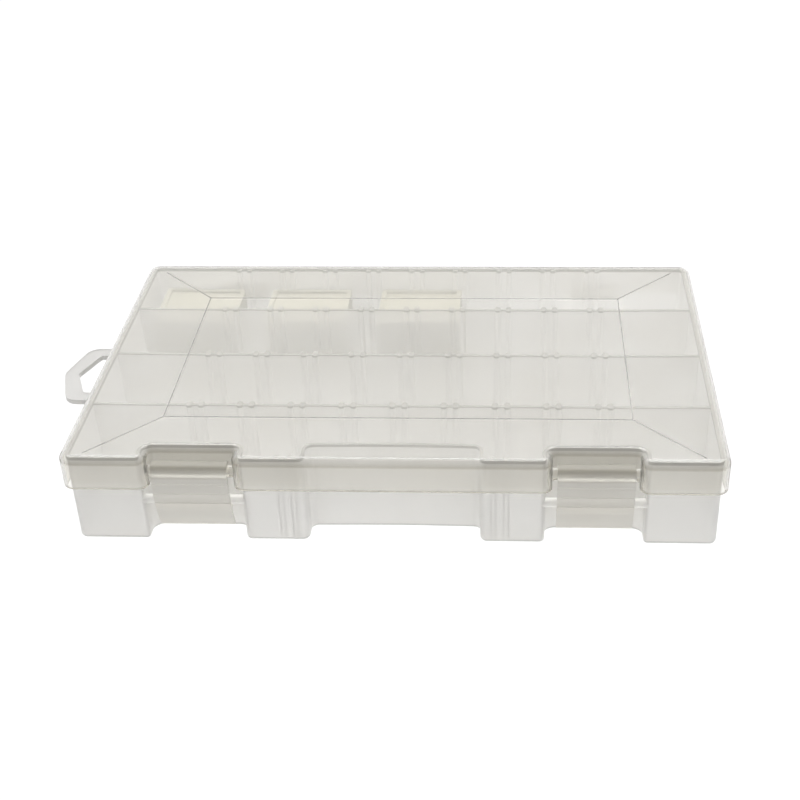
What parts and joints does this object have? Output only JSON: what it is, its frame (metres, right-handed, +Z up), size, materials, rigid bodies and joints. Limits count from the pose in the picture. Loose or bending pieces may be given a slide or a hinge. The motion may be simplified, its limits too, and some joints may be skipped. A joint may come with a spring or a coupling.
{
  "type": "compartment storage box",
  "caption": "Flat translucent storage box with a hinged lid, snap latches on its front edge, ribbed rows of compartments, loose dividers and a hang loop.",
  "frame": {"origin": "middle of the box's underside, on the surface that it stands on", "axes": "+X to the right seen from the latches, along the box; +Y to the back, towards the hinge; +Z up"},
  "size_m": [0.3869, 0.2386, 0.056],
  "materials": {
    "tray_plastic": "milky translucent polypropylene, satin",
    "lid_plastic": "clear translucent polypropylene with a faint warm tint, smooth",
    "latch_plastic": "milky translucent polypropylene, satin",
    "divider_plastic": "translucent polypropylene with a faint yellow tint, satin"
  },
  "bodies": {
    "base": {"base_tray": "tray_plastic"},
    "lid": {"lid": "lid_plastic"},
    "latch_left": {"latch_left": "latch_plastic"},
    "latch_right": {"latch_right": "latch_plastic"},
    "dividers_left": {"divider_01": "divider_plastic", "divider_02": "divider_plastic", "divider_03": "divider_plastic", "divider_04": "divider_plastic", "divider_05": "divider_plastic", "divider_06": "divider_plastic", "divider_07": "divider_plastic", "divider_08": "divider_plastic", "divider_09": "divider_plastic", "divider_10": "divider_plastic", "divider_11": "divider_plastic", "divider_12": "divider_plastic"},
    "dividers_middle": {"divider_13": "divider_plastic", "divider_14": "divider_plastic", "divider_15": "divider_plastic", "divider_16": "divider_plastic", "divider_17": "divider_plastic", "divider_18": "divider_plastic", "divider_19": "divider_plastic", "divider_20": "divider_plastic", "divider_21": "divider_plastic", "divider_22": "divider_plastic", "divider_23": "divider_plastic", "divider_24": "divider_plastic"},
    "dividers_right": {"divider_25": "divider_plastic", "divider_26": "divider_plastic", "divider_27": "divider_plastic", "divider_28": "divider_plastic", "divider_29": "divider_plastic", "divider_30": "divider_plastic", "divider_31": "divider_plastic", "divider_32": "divider_plastic", "divider_33": "divider_plastic", "divider_34": "divider_plastic", "divider_35": "divider_plastic", "divider_36": "divider_plastic"}
  },
  "joints": [
    {"name": "lid_hinge", "type": "hinge", "parent": "base", "child": "lid", "pos_m": [0, 0.1193, 0.0321], "axis": [-1, 0, 0], "range_deg": [0, 180]},
    {"name": "latch_left_pivot", "type": "hinge", "parent": "lid", "child": "latch_left", "pos_m": [-0.108, -0.1104, 0.046], "axis": [-1, 0, 0], "range_deg": [0, 110]},
    {"name": "latch_right_pivot", "type": "hinge", "parent": "lid", "child": "latch_right", "pos_m": [0.108, -0.1104, 0.046], "axis": [-1, 0, 0], "range_deg": [0, 110]},
    {"name": "dividers_left_slide", "type": "slide", "parent": "base", "child": "dividers_left", "axis": [1, 0, 0], "range_m": [0, 0.0183]},
    {"name": "dividers_middle_slide", "type": "slide", "parent": "base", "child": "dividers_middle", "axis": [1, 0, 0], "range_m": [0, 0.02]},
    {"name": "dividers_right_slide", "type": "slide", "parent": "base", "child": "dividers_right", "axis": [1, 0, 0], "range_m": [0, 0.142]}
  ]
}
